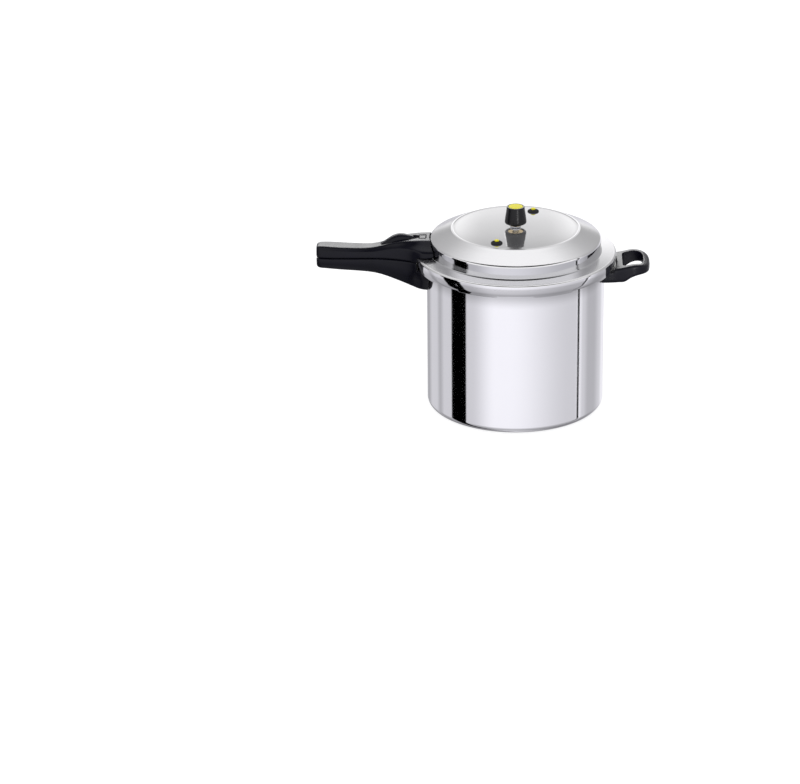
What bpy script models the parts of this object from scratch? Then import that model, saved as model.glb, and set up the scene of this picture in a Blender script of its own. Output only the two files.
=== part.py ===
"""Stovetop pressure cooker of about seven litres, closed, with its handles in line.

Metres, +Z up, ground at z = 0, the pot's axis on the Z axis, the long handle along -X.
Lengths below are written in millimetres and multiplied by MM where the meshes are made.
Every piece is its own object, one closed body, 0.3 mm clear of the pieces it touches.
"""

import math

import bmesh
import bpy

MM = 0.001
GAP = 0.3

# Pot
POT_R = 110.0
POT_WALL = 2.5
BASE_T = 5.2
BASE_CORNER_R = 8.0
FLANGE_TOP = 193.9
FLANGE_UNDER = 190.9
# The profiles of lid, seal and valves are written for a rim at 199.5, and lowered to this one.
RIM_DROP = 5.6
FLANGE_R = 115.0
LUG_R = 119.6
LUG_PITCH = 45.0
POT_LUG_HALF = 11.2
# Lid
VENT_HOLE_R = 4.3
LID_LUG_R = 116.2
LID_LUG_HALF = 10.2
DOME_SAG = 0.9
BRIM_R = 124.3
RISER_R = 105.5
# Handles: the split between the lid half and the pot half
SPLIT_UNDER = 193.1
SPLIT_OVER = 193.7
# Safety valves, opposite one another
VALVE_R = 61.0
VALVE_AZ = (-112.0, 69.0)
# Lock: a thumb slider on a sloping track drives an upright bolt down
TRACK_SLOPE = 0.177
BOLT_X = -134.0
SLIDE_TRAVEL = 6.0
BOLT_TRAVEL = 5.0


def clear_scene():
    for obj in list(bpy.data.objects):
        bpy.data.objects.remove(obj, do_unlink=True)


def material(name, color, metallic, roughness):
    mat = bpy.data.materials.new(name)
    mat.use_nodes = True
    shader = mat.node_tree.nodes["Principled BSDF"]
    shader.inputs["Base Color"].default_value = (*color, 1.0)
    shader.inputs["Metallic"].default_value = metallic
    shader.inputs["Roughness"].default_value = roughness
    return mat


def finish_mesh(name, bm, mat, cutter=False):
    """Turn every face outwards and make the object."""
    bmesh.ops.recalc_face_normals(bm, faces=bm.faces[:])
    if bm.calc_volume(signed=True) < 0:
        bmesh.ops.reverse_faces(bm, faces=bm.faces[:])
    bmesh.ops.scale(bm, vec=(MM, MM, MM), verts=bm.verts[:])
    mesh = bpy.data.meshes.new(name)
    bm.to_mesh(mesh)
    bm.free()
    obj = bpy.data.objects.new(name, mesh)
    bpy.context.scene.collection.objects.link(obj)
    if mat:
        mesh.materials.append(mat)
    if cutter:
        obj.hide_render = True
        obj.display_type = "WIRE"
    return obj


def stack(bm, rings):
    """Join a list of equal closed rings of vertices with quads."""
    count = len(rings[0])
    for a, b in zip(rings, rings[1:]):
        for i in range(count):
            j = (i + 1) % count
            quad = [a[i], a[j], b[j], b[i]]
            quad = [v for k, v in enumerate(quad) if v not in quad[:k]]
            if len(quad) > 2:
                bm.faces.new(quad)


def lathe(name, loop, mat, azimuths=None, cutter=False, centre=(0.0, 0.0)):
    """Turn a profile round the Z axis. loop is a list of (r, z) or a function of the azimuth."""
    azimuths = azimuths or [5.0 * i for i in range(72)]
    bm = bmesh.new()
    poles = {}
    rings = []
    for degrees in azimuths:
        a = math.radians(degrees)
        points = loop(degrees) if callable(loop) else loop
        ring = []
        for r, z in points:
            if r < 1e-6:
                if z not in poles:
                    poles[z] = bm.verts.new((centre[0], centre[1], z))
                ring.append(poles[z])
            else:
                ring.append(bm.verts.new((centre[0] + r * math.cos(a), centre[1] + r * math.sin(a), z)))
        rings.append(ring)
    stack(bm, rings + rings[:1])
    return finish_mesh(name, bm, mat, cutter)


def loft(name, sections, mat, cutter=False):
    """Closed rings of (x, y, z) points joined in order, with both ends capped."""
    bm = bmesh.new()
    rings = [[bm.verts.new(p) for p in ring] for ring in sections]
    stack(bm, rings)
    bm.faces.new(rings[0])
    bm.faces.new(rings[-1][::-1])
    bmesh.ops.triangulate(bm, faces=[f for f in bm.faces if len(f.verts) > 4])
    return finish_mesh(name, bm, mat, cutter)


def box(name, low, high, mat=None, cutter=True):
    (x0, y0, z0), (x1, y1, z1) = low, high
    ring = [(x0, y0), (x1, y0), (x1, y1), (x0, y1)]
    return loft(name, [[(x, y, z0) for x, y in ring], [(x, y, z1) for x, y in ring]], mat, cutter)


def rod(name, start, end, radius, mat=None, cutter=True, count=16, radius_end=None):
    """A round bar from start to end, along X, Y or Z."""
    axis = max(range(3), key=lambda k: abs(end[k] - start[k]))
    rings = []
    for point, r in ((start, radius), (end, radius_end or radius)):
        ring = []
        for i in range(count):
            a = 2 * math.pi * i / count
            c, s = r * math.cos(a), r * math.sin(a)
            offset = [(0, c, s), (c, 0, s), (c, s, 0)][axis]
            ring.append(tuple(point[k] + offset[k] for k in range(3)))
        rings.append(ring)
    return loft(name, rings, mat, cutter)


def lathe_x(name, loop, mat, y, z, count=14):
    """Turn a profile of (x, r) round a line along X through (y, z), poles at both ends."""
    bm = bmesh.new()
    rings = []
    for x, r in loop:
        if r < 1e-6:
            rings.append([bm.verts.new((x, y, z))] * count)
        else:
            angles = [2 * math.pi * i / count for i in range(count)]
            rings.append([bm.verts.new((x, y + r * math.cos(a), z + r * math.sin(a))) for a in angles])
    stack(bm, rings)
    return finish_mesh(name, bm, mat)


def boolean(obj, other, operation="DIFFERENCE"):
    mod = obj.modifiers.new(other.name, "BOOLEAN")
    mod.operation = operation
    mod.solver = "EXACT"
    mod.object = other
    return mod


def lowered(loop, drop=RIM_DROP):
    """A profile moved down."""
    return [(r, z - drop) for r, z in loop]


def between(table, s):
    """Straight-line reading of a table of (s, value) rows in rising s."""
    for (s0, v0), (s1, v1) in zip(table, table[1:]):
        if s <= s1:
            return v0 + (v1 - v0) * (max(s, s0) - s0) / (s1 - s0)
    return table[-1][1]


def arc(cx, cz, r, start, end, count):
    """count + 1 points of a circle, angles in degrees."""
    steps = [math.radians(start + (end - start) * i / count) for i in range(count + 1)]
    return [(cx + r * math.cos(a), cz + r * math.sin(a)) for a in steps]


def lug_azimuths(half, edge=0.5):
    """Eight lugs: a line of points at each lug's two steep ends and a few between."""
    inside = [half * k / 2 for k in (-2, -1, 0, 1, 2)]
    gap = LUG_PITCH - 2 * (half + edge)
    outside = [half + edge + gap * k / 3 for k in range(4)]
    return [LUG_PITCH * k + a for k in range(8) for a in inside + outside]


def on_lug(degrees, half):
    return abs((degrees + LUG_PITCH / 2) % LUG_PITCH - LUG_PITCH / 2) < half + 0.1


# --------------------------------------------------------------------------- pot


def pot_profile(degrees):
    edge = LUG_R if on_lug(degrees, POT_LUG_HALF) else FLANGE_R
    inner = POT_R - POT_WALL
    floor_r = 6.0
    return (
        [(0.0, 0.0)]
        + arc(POT_R - BASE_CORNER_R, BASE_CORNER_R, BASE_CORNER_R, -90, 0, 4)
        + [(POT_R, FLANGE_UNDER - 1.2), (POT_R + 1.2, FLANGE_UNDER)]
        + [(edge - 0.7, FLANGE_UNDER), (edge, FLANGE_UNDER + 0.7), (edge, FLANGE_TOP - 0.7)]
        + [(edge - 0.7, FLANGE_TOP), (inner + 1.0, FLANGE_TOP), (inner, FLANGE_TOP - 1.0)]
        + arc(inner - floor_r, BASE_T + floor_r, floor_r, 0, -90, 3)
        + [(0.0, BASE_T)]
    )


# --------------------------------------------------------------------------- lid


def lid_profile(degrees):
    if on_lug(degrees, LID_LUG_HALF):
        rim = [(121.9, 192.6), (120.9, 191.5), (117.0, 191.5), (LID_LUG_R, 192.2)]
        rim += [(LID_LUG_R, 195.2), (116.9, 195.9), (120.0, 195.9)]
    else:
        rim = [(121.8, 190.8), (121.2, 190.0), (120.3, 190.0), (119.9, 190.5)]
        rim += [(119.9, 192.5), (119.9, 194.2), (120.0, 195.9)]
    top = [(VENT_HOLE_R, 237.6), (45.0, 236.95), (77.2, 235.7), (78.2, 236.0)]
    top += [(79.8, 236.0), (81.2, 235.3), (89.0, 232.0), (97.5, 228.0)]
    top += [(104.6, 224.6), (105.8, 223.7), (105.8, 222.8), (RISER_R, 222.2), (RISER_R, 210.4)]
    top += [(106.3, 208.7), (108.0, 207.8), (121.5, 206.6), (123.6, 205.9)]
    top += [(BRIM_R, 204.6), (123.4, 202.0)]
    under = [(120.8, 202.2), (119.6, 204.1), (105.6, 205.6), (103.1, 208.0)]
    under += [(103.1, 222.6), (96.0, 225.9), (88.0, 229.6)]
    under += [(79.8, 233.0), (45.0, 234.5), (VENT_HOLE_R, 235.1)]
    return lowered(top + rim + under)


# Everything of the lid's outside, kept clear of, for cutting the handle's seat.
LID_CLEARANCE = [
    (0.0, 180.0), (BRIM_R + 0.6, 180.0), (BRIM_R + 0.6, 204.8), (124.0, 206.4), (121.6, 207.0),
    (115.0, 207.6), (108.2, 208.2), (106.7, 209.0), (RISER_R + 0.7, 210.6), (RISER_R + 0.7, 230.0),
    (0.0, 230.0),
]
# The pot's wall below and the turning lid above, for cutting the pot half's seat.
POT_CLEARANCE = [
    (0.0, 140.0), (POT_R + 0.4, 140.0), (POT_R + 0.4, 188.6), (BRIM_R + 0.9, 188.6),
    (BRIM_R + 0.9, 200.0), (0.0, 200.0),
]

# --------------------------------------------------------------------------- long handle

HANDLE_TOP = [
    (98, 218.9), (106, 218.7), (122, 218.3), (132, 217.4), (140, 216.3), (148, 214.6), (157, 212.2),
    (166, 209.3), (176, 207.2), (186, 206.4), (200, 206.6), (218, 207.3), (236, 208.3), (248, 208.4),
]
HANDLE_BOTTOM = [
    (98, 155.6), (110, 155.8), (121, 156.8), (130, 159.0), (140, 162.3), (150, 165.7), (159, 168.7),
    (170, 171.9), (180, 173.8), (190, 174.9), (215, 176.8), (236, 178.4), (248, 179.0),
]
HALF_TOP = [
    (98, 15.8), (108, 15.2), (125, 14.6), (135, 13.6), (145, 12.0), (155, 10.0), (166, 8.6), (176, 8.6),
    (190, 9.6), (205, 10.2), (230, 10.2), (240, 9.4), (248, 8.4),
]
HALF_SPLIT = [
    (98, 35.0), (110, 35.0), (116, 33.5), (121, 30.0), (126, 26.0), (132, 22.3), (140, 19.0), (150, 16.0),
    (160, 13.8), (170, 12.6), (180, 12.4), (205, 13.0), (230, 12.8), (240, 11.8), (248, 10.6),
]
STATIONS = [98, 104, 110, 116, 121, 126, 132, 140, 148, 157, 166, 176, 190, 205, 220, 234, 241, 244.6, 246.6]
TIP_INSET = {241: 0.0, 244.6: 1.3, 246.6: 3.4}


def handle_section(s, z_low, z_high, half_low, half_high, round_low, round_high, shoulder):
    """A ring in the plane x = -s: rounded corners, and sides that lean in above the shoulder height."""
    side = [(half_low - round_low, z_low), (half_low - round_low * 0.3, z_low + round_low * 0.3)]
    side += [(half_low, z_low + round_low), (half_low, shoulder)]
    lean = half_high + (half_low - half_high) * 0.42
    side += [(lean, shoulder + (z_high - shoulder) * 0.48)]
    side += [(half_high, z_high - round_high), (half_high - round_high * 0.3, z_high - round_high * 0.3)]
    side += [(half_high - round_high, z_high)]
    ring = [(-s, y, z) for y, z in side] + [(-s, -y, z) for y, z in reversed(side)]
    return ring


def lid_handle_sections():
    rings = []
    for s in STATIONS:
        inset = TIP_INSET.get(s, 0.0)
        top = between(HANDLE_TOP, s) - inset * 0.8
        low = SPLIT_OVER + inset * 0.35
        shoulder = min(low + (top - low) * 0.62, 210.5)
        half_low, half_high = between(HALF_SPLIT, s) - inset, between(HALF_TOP, s) - inset
        rings.append(handle_section(s, low, top, half_low, half_high, 0.8, 1.6, shoulder))
    return rings


def pot_handle_sections():
    rings = []
    for s in STATIONS:
        inset = TIP_INSET.get(s, 0.0)
        low = between(HANDLE_BOTTOM, s) + inset * 0.8
        top = SPLIT_UNDER - inset * 0.35
        half_high = between(HALF_SPLIT, s) - inset
        half_low = half_high * 0.72
        ring = handle_section(s, -top, -low, half_high, half_low, 0.8, 3.0, -top + (top - low) * 0.45)
        rings.append([(x, y, -z) for x, y, z in ring])
    return rings


# --------------------------------------------------------------------------- helper handle


def helper_top(x):
    table = [(100, 187.0), (124, 187.6), (134, 189.5), (146, 192.0), (156, 191.4), (168, 187.8)]
    return between(table, x)


def helper_bottom(x):
    table = [(100, 169.6), (126, 169.6), (135, 170.6), (142, 175.2), (150, 178.2), (160, 179.4), (168, 179.4)]
    return between(table, x)


def helper_outline(inset):
    """Half outline in plan (x, half width), from the pot outwards."""
    points = [(100.0, 34.0), (112.0, 33.0), (124.0, 31.8), (136.0, 31.8), (148.0, 31.2), (156.0, 29.0)]
    points += [(161.5, 24.4), (164.6, 18.0), (165.8, 8.0)]
    return [(x - (inset if x > 140 else 0.0), y - inset) for x, y in points]


def helper_outer(mat):
    """The block with rounded edges, as closed plan outlines stacked from the underside up."""
    rings = []
    for level, inset in ((0.0, 3.0), (0.12, 1.0), (0.3, 0.0), (0.75, 0.0), (0.93, 1.0), (1.0, 2.6)):
        half = helper_outline(inset)
        plan = half + [(x, -y) for x, y in reversed(half)]
        ring = [(x, y, helper_bottom(x) + (helper_top(x) - helper_bottom(x)) * level) for x, y in plan]
        rings.append(ring)
    bm = bmesh.new()
    rings = [[bm.verts.new(p) for p in ring] for ring in rings]
    stack(bm, rings)
    half = len(rings[0]) // 2
    for ring in (rings[0], rings[-1]):
        for i in range(half - 1):
            bm.faces.new([ring[i], ring[i + 1], ring[-2 - i], ring[-1 - i]])
    return finish_mesh("helper_handle", bm, mat)


def helper_gap():
    plan = [(132.4, 19.5), (134.2, 22.6), (148.0, 23.4), (154.4, 20.4), (157.2, 14.5), (158.0, 5.0)]
    plan += [(x, -y) for x, y in reversed(plan)]
    return loft("cut_helper_gap", [[(x, y, z) for x, y in plan] for z in (150.0, 210.0)], None, cutter=True)


# --------------------------------------------------------------------------- brackets and fasteners


def wall_plate(name, r_in, r_out, middle, half_angle, z0, z1, mat, cutter=False):
    """A plate bent round the pot's axis."""
    rings = []
    steps = 8
    for i in range(steps + 1):
        a = math.radians(middle - half_angle + 2 * half_angle * i / steps)
        c, s = math.cos(a), math.sin(a)
        corners = [(r_in, z0), (r_out, z0), (r_out, z1), (r_in, z1)]
        rings.append([(r * c, r * s, z) for r, z in corners])
    return loft(name, rings, mat, cutter)


def rivet(name, sign, inner, outer, y, z, mat, shank=2.4, head=4.2):
    """A shank along X with a low dome each end. inner and outer are the faces under the heads."""
    loop = [(inner - 1.5, 0.0), (inner - 1.3, head * 0.6), (inner - 0.4, head), (inner, head)]
    loop += [(inner, shank), (outer, shank), (outer, head), (outer + 0.4, head)]
    loop += [(outer + 1.3, head * 0.6), (outer + 1.5, 0.0)]
    return lathe_x(name, [(sign * x, r) for x, r in loop], mat, y, z)


def screw_profile(z_head, z_face, z_end, head=4.0, shank=2.0):
    """Profile of an upright screw, head face at z_head, bearing face at z_face, end at z_end."""
    step = 0.6 if z_head > z_face else -0.6
    return [
        (0.0, z_head - step * 2), (1.6, z_head - step * 2), (1.9, z_head), (head - 0.6, z_head),
        (head, z_head - step), (head, z_face), (shank, z_face), (shank, z_end + step),
        (shank - 0.6, z_end), (0.0, z_end),
    ]


ROUND = [20.0 * i for i in range(18)]


# --------------------------------------------------------------------------- assembly


def build_pot(metal, steel, black):
    pot = lathe("pot_body", pot_profile, metal, lug_azimuths(POT_LUG_HALF))
    for sign, tag in ((-1, "main"), (1, "helper")):
        for y in (-9.0, 9.0):
            x = (sign * 100.0, sign * 118.0)
            z = 177.2 if tag == "main" else 176.4
            boolean(pot, rod(f"cut_pot_{tag}_{int(y)}", (x[0], y, z), (x[1], y, z), 2.7))

    # Long handle: a bent steel plate riveted to the wall, with a tongue into the handle.
    bracket = wall_plate("pot_handle_bracket", POT_R + GAP, 112.4, 180.0, 9.0, 165.0, 181.4, steel)
    tongue = box("join_pot_tongue", (-152.0, -7.0, 170.0), (-111.4, 7.0, 172.6))
    boolean(bracket, tongue, "UNION")
    for y in (-9.0, 9.0):
        boolean(bracket, rod(f"cut_pot_bracket_{int(y)}", (-118, y, 177.2), (-105, y, 177.2), 2.7))
    boolean(bracket, rod("cut_pot_tongue", (-145.0, 0, 160.0), (-145.0, 0, 180.0), 2.3))

    handle = loft("pot_handle", pot_handle_sections(), black)
    boolean(handle, lathe("cut_pot_seat", lowered(POT_CLEARANCE), None, cutter=True))
    boolean(handle, wall_plate("cut_pot_plate", 108.0, 115.6, 180.0, 10.0, 164.5, 181.9, None, True))
    boolean(handle, box("cut_pot_slot", (-152.4, -7.4, 169.6), (-112.0, 7.4, 173.0)))
    boolean(handle, rod("cut_pot_screw", (-145.0, 0, 160.0), (-145.0, 0, 182.0), 2.4))
    boolean(handle, rod("cut_pot_screw_head", (-145.0, 0, 155.0), (-145.0, 0, 167.9), 4.5))
    hole = (BOLT_X - 4.2, -4.2, 185.0), (BOLT_X + 4.2, 4.2, 195.0)
    boolean(handle, box("cut_bolt_hole", *hole))
    lathe("pot_handle_screw", screw_profile(164.6, 167.6, 180.0), steel, ROUND, centre=(-145.0, 0.0))
    rivet("pot_handle_rivet_near", -1, 106.1, 112.8, -9.0, 177.2, steel)
    rivet("pot_handle_rivet_far", -1, 106.1, 112.8, 9.0, 177.2, steel)

    # Helper handle on the other side.
    plate = wall_plate("helper_bracket", POT_R + GAP, 112.4, 0.0, 10.0, 171.5, 181.4, steel)
    boss = rod("join_helper_boss", (111.4, 0, 176.4), (118.0, 0, 176.4), 4.0)
    boolean(plate, boss, "UNION")
    for y in (-9.0, 9.0):
        boolean(plate, rod(f"cut_helper_bracket_{int(y)}", (105, y, 176.4), (118, y, 176.4), 2.7))
    boolean(plate, rod("cut_helper_boss", (113.4, 0, 176.4), (122.0, 0, 176.4), 2.3))
    helper = helper_outer(black)
    boolean(helper, helper_gap())
    boolean(helper, lathe("cut_helper_seat", lowered(POT_CLEARANCE), None, cutter=True))
    boolean(helper, wall_plate("cut_helper_plate", 108.0, 115.6, 0.0, 11.0, 171.0, 181.9, None, True))
    boolean(helper, rod("cut_helper_boss_seat", (112.0, 0, 176.4), (118.4, 0, 176.4), 4.4))
    boolean(helper, rod("cut_helper_screw", (116.0, 0, 176.4), (134.0, 0, 176.4), 2.4))
    boolean(helper, rod("cut_helper_screw_head", (127.7, 0, 176.4), (140.0, 0, 176.4), 4.4))
    loop = [(114.2, 0.0), (114.2, 1.6), (114.8, 2.0), (128.0, 2.0), (128.0, 4.0), (130.4, 4.0)]
    loop += [(131.0, 3.4), (131.0, 1.9), (129.6, 1.6), (129.6, 0.0)]
    lathe_x("helper_screw", loop, steel, 0.0, 176.4)
    rivet("helper_rivet_near", 1, 106.1, 112.8, -9.0, 176.4, steel)
    rivet("helper_rivet_far", 1, 106.1, 112.8, 9.0, 176.4, steel)


def track_z(x):
    """Height of the slider's track floor at x."""
    return 216.0 + TRACK_SLOPE * (x + 122.0)


def slab(name, x0, x1, half, low, high, mat=None, cutter=True):
    """A box whose floor and top follow two functions of x."""
    sections = []
    for x in (x0, x1):
        a, b = low(x), high(x)
        sections.append([(x, -half, a), (x, half, a), (x, half, b), (x, -half, b)])
    return loft(name, sections, mat, cutter)


def ramp_z(x):
    """Middle height of the slider's sloping bar, which passes through the bolt, at rest."""
    run = SLIDE_TRAVEL / math.hypot(1.0, TRACK_SLOPE)
    slope = (BOLT_TRAVEL + TRACK_SLOPE * run) / run
    return 208.5 + slope * (x - BOLT_X)


def build_lock(black, steel):
    handle = bpy.data.objects["lid_handle"]
    boolean(handle, box("cut_bolt_way", (BOLT_X - 3.3, -3.3, 190.0), (BOLT_X + 3.3, 3.3, 212.8)))
    boolean(handle, box("cut_bar_way", (-144.2, -1.7, 197.6), (-120.3, 1.7, 222.0)))
    plan = [(-167.4, 1.6), (-166.0, 3.9), (-162.6, 5.9), (-156.0, 7.3), (-148.0, 7.7), (-138.0, 7.6)]
    plan += [(-128.0, 6.6), (-121.6, 5.0), (-119.6, 3.8)]
    plan += [(x, -y) for x, y in reversed(plan)]
    rings = [[(x, y, track_z(x) if low else 232.0) for x, y in plan] for low in (True, False)]
    boolean(handle, loft("cut_track", rings, None, cutter=True))

    # Slider: a teardrop thumb piece with a sloping bar under it that reaches through the bolt.
    stations = [(-166.2, 1.0, 0.9), (-165.0, 3.2, 1.8), (-161.0, 5.2, 4.0), (-156.0, 6.4, 6.6)]
    stations += [(-150.0, 7.0, 9.2), (-144.0, 6.8, 9.9), (-138.0, 6.2, 8.6), (-132.0, 5.2, 6.2)]
    stations += [(-128.0, 4.2, 4.6), (-126.0, 2.8, 3.4)]
    rings = []
    for x, half, height in stations:
        base = track_z(x) + GAP
        side = [(half, base), (half, base + height * 0.45), (half * 0.78, base + height * 0.84)]
        side += [(half * 0.4, base + height)]
        rings.append([(x, y, z) for y, z in side] + [(x, -y, z) for y, z in reversed(side)])
    slider = loft("lock_slider", rings, black)
    low, high = (lambda x: ramp_z(x) - 1.2), (lambda x: ramp_z(x) + 1.2)
    boolean(slider, slab("join_bar", -143.4, -126.6, 1.4, low, high), "UNION")

    # Bolt: a square bar with a sloping way through it for the slider's bar.
    bolt = box("lock_bolt", (BOLT_X - 3.0, -3.0, 194.1), (BOLT_X + 3.0, 3.0, 212.4), steel, cutter=False)
    low, high = (lambda x: ramp_z(x) - 1.55), (lambda x: ramp_z(x) + 1.55)
    boolean(bolt, slab("cut_bolt_slope", BOLT_X - 4.0, BOLT_X + 4.0, 1.7, low, high))


def build_lid(metal, steel, black, rubber):
    lid = lathe("lid_shell", lid_profile, metal, lug_azimuths(LID_LUG_HALF))
    for k, azimuth in enumerate(VALVE_AZ, 1):
        a = math.radians(azimuth)
        x, y = VALVE_R * math.cos(a), VALVE_R * math.sin(a)
        boolean(lid, rod(f"cut_valve_{k}", (x, y, 222.0), (x, y, 242.0), 4.8, count=24))
    for y in (-8.4, 8.4):
        boolean(lid, rod(f"cut_lid_rivet_{int(y)}", (-112, y, 209.2), (-99, y, 209.2), 2.1))
    relief = -125.2
    a = math.radians(relief)
    ends = [(r * math.cos(a), r * math.sin(a)) for r in (110.0, 130.0)]
    ring = []
    for x, y in ends:
        turn = [2 * math.pi * i / 14 for i in range(14)]
        side = (-math.sin(a), math.cos(a))
        ring.append([(x + 1.9 * math.cos(t) * side[0], y + 1.9 * math.cos(t) * side[1],
                      193.4 + 1.9 * math.sin(t)) for t in turn])
    boolean(lid, loft("cut_relief", ring, None, cutter=True))

    seal = [(109.0, 199.9), (118.2, 199.9), (119.0, 200.7), (119.0, 202.9), (118.2, 203.8)]
    seal += [(109.4, 204.7), (108.6, 203.7), (114.2, 203.0), (114.2, 201.6), (108.6, 200.7)]
    lathe("gasket", lowered(seal), rubber, [6.0 * i for i in range(60)])

    handle = loft("lid_handle", lid_handle_sections(), black)
    boolean(handle, lathe("cut_lid_seat", lowered(LID_CLEARANCE), None, cutter=True))
    plate = wall_plate("lid_handle_bracket", RISER_R + 0.5, 107.7, 180.0, 6.6, 204.0, 212.8, steel)
    boolean(plate, box("join_lid_tongue", (-119.6, -6.0, 204.2), (-107.0, 6.0, 206.2)), "UNION")
    for y in (-8.4, 8.4):
        boolean(plate, rod(f"cut_lid_bracket_{int(y)}", (-112, y, 209.2), (-99, y, 209.2), 2.1))
    boolean(plate, rod("cut_lid_tongue", (-114.8, 0, 200.0), (-114.8, 0, 209.5), 2.3))
    boolean(handle, wall_plate("cut_lid_plate", 104.0, 110.2, 180.0, 7.6, 203.7, 213.4, None, True))
    boolean(handle, box("cut_lid_tongue_way", (-119.9, -6.3, 203.8), (-108.0, 6.3, 206.5)))
    boolean(handle, rod("cut_lid_screw", (-114.8, 0, 202.6), (-114.8, 0, 210.4), 2.4))
    boolean(handle, rod("cut_lid_screw_head", (-114.8, 0, 208.3), (-114.8, 0, 216.5), 4.3))
    boolean(handle, box("cut_plate_seat", (-118.9, -6.3, 216.1), (-110.9, 6.3, 222.0)))
    box("lid_handle_plate", (-118.6, -6.0, 216.4), (-111.2, 6.0, 218.7), black, cutter=False)
    lathe("lid_handle_screw", screw_profile(211.0, 208.6, 203.9), steel, ROUND, centre=(-114.8, 0.0))
    rivet("lid_handle_rivet_near", -1, 101.9, 107.9, -8.4, 209.2, steel, 1.8, 3.1)
    rivet("lid_handle_rivet_far", -1, 101.9, 107.9, 8.4, 209.2, steel, 1.8, 3.1)
    build_lock(black, steel)


def on_dome(loop):
    """A profile of a valve, written for a dome that is DOME_SAG higher as well."""
    return lowered(loop, RIM_DROP + DOME_SAG)


def build_valves(steel, brass, black, yellow, rubber):
    pipe = [(1.4, 227.0), (3.4, 227.0), (4.0, 227.6), (4.0, 238.8), (6.6, 238.8), (6.8, 239.1)]
    pipe += [(6.6, 240.2), (4.4, 240.4), (3.6, 241.0), (3.4, 252.6), (2.4, 253.8), (1.4, 253.8)]
    lathe("vent_pipe", on_dome(pipe), steel, ROUND)
    nut = [(7.4, 231.9), (7.9, 232.5), (7.9, 235.1), (7.4, 235.7), (4.4, 235.7), (4.4, 231.9)]
    nut_azimuths = [10.0 * i for i in range(36)]
    hexes = {a: math.cos(math.radians(30)) / math.cos(math.radians(a % 60 - 30)) for a in nut_azimuths}
    lathe("vent_pipe_nut", lambda a: on_dome([(r * (hexes[a] if r > 5 else 1.0), z) for r, z in nut]),
          brass, nut_azimuths)
    sieve = [(4.3, 227.6), (4.3, 231.5), (5.6, 231.5), (6.4, 230.8), (6.6, 227.0), (5.4, 225.4)]
    sieve += [(0.0, 224.8), (0.0, 226.0), (3.6, 226.4)]
    lathe("vent_filter", on_dome(sieve), steel, ROUND)

    core = [(3.9, 243.8), (9.0, 243.8), (9.4, 244.2), (9.4, 250.4), (8.0, 260.0), (0.0, 260.0)]
    core += [(0.0, 254.4), (3.9, 254.2)]
    lathe("weight_core", on_dome(core), brass, ROUND)
    cover = [(9.8, 243.2), (12.4, 243.2), (13.3, 244.2), (13.4, 246.4), (12.6, 252.4), (11.6, 259.0)]
    cover += [(11.1, 264.2), (10.6, 264.9), (9.7, 264.9), (9.3, 264.5), (9.3, 262.6), (0.0, 262.6)]
    cover += [(0.0, 260.3), (8.3, 260.3), (9.8, 250.5)]
    lathe("weight_cover", on_dome(cover), black, [11.25 * i for i in range(32)])
    cap = [(0.0, 262.9), (8.6, 262.9), (8.9, 263.2), (8.9, 264.5), (8.3, 265.0), (0.0, 265.2)]
    lathe("weight_cap", on_dome(cap), yellow, [11.25 * i for i in range(32)])

    for k, azimuth in enumerate(VALVE_AZ, 1):
        a = math.radians(azimuth)
        centre = (VALVE_R * math.cos(a), VALVE_R * math.sin(a))
        ring = [(2.3, 231.9), (5.6, 231.9), (6.3, 232.5), (6.3, 233.9), (4.5, 234.1), (4.5, 238.1)]
        ring += [(6.7, 238.1), (7.0, 238.4), (6.4, 239.1), (4.6, 240.1), (2.9, 240.3), (2.3, 239.8)]
        lathe(f"safety_grommet_{k}", on_dome(ring), rubber, ROUND, centre=centre)
        pin = [(0.0, 227.5), (2.6, 227.5), (3.2, 228.0), (3.2, 228.5), (2.0, 228.6), (2.0, 240.6)]
        pin += [(2.8, 240.6), (2.9, 241.3), (2.3, 242.0), (0.0, 242.2)]
        lathe(f"safety_pin_{k}", on_dome(pin), yellow, ROUND, centre=centre)


def build():
    clear_scene()
    metal = material("polished aluminium", (0.80, 0.81, 0.83), 1.0, 0.12)
    steel = material("zinc plated steel", (0.55, 0.56, 0.58), 1.0, 0.30)
    brass = material("brass", (0.75, 0.58, 0.28), 1.0, 0.25)
    black = material("black bakelite", (0.015, 0.015, 0.018), 0.0, 0.30)
    yellow = material("yellow plastic", (0.85, 0.68, 0.02), 0.0, 0.35)
    rubber = material("black rubber", (0.02, 0.02, 0.02), 0.0, 0.60)
    build_pot(metal, steel, black)
    build_lid(metal, steel, black, rubber)
    build_valves(steel, brass, black, yellow, rubber)


build()
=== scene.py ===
# %% [markdown]
# # A stovetop pressure cooker, closed, with its handles in line
#
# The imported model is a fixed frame: every piece is already in its place, in metres.
# This lesson gives each visible piece the fine shape and the finish of the real one.
# A piece that is turned, pressed or moulded on the real cooker is worked out again
# as a smooth surface and takes the place of the plain solid. Everything is computed
# from a few profiles in millimetres, so the same profile serves shape and finish.

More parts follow.
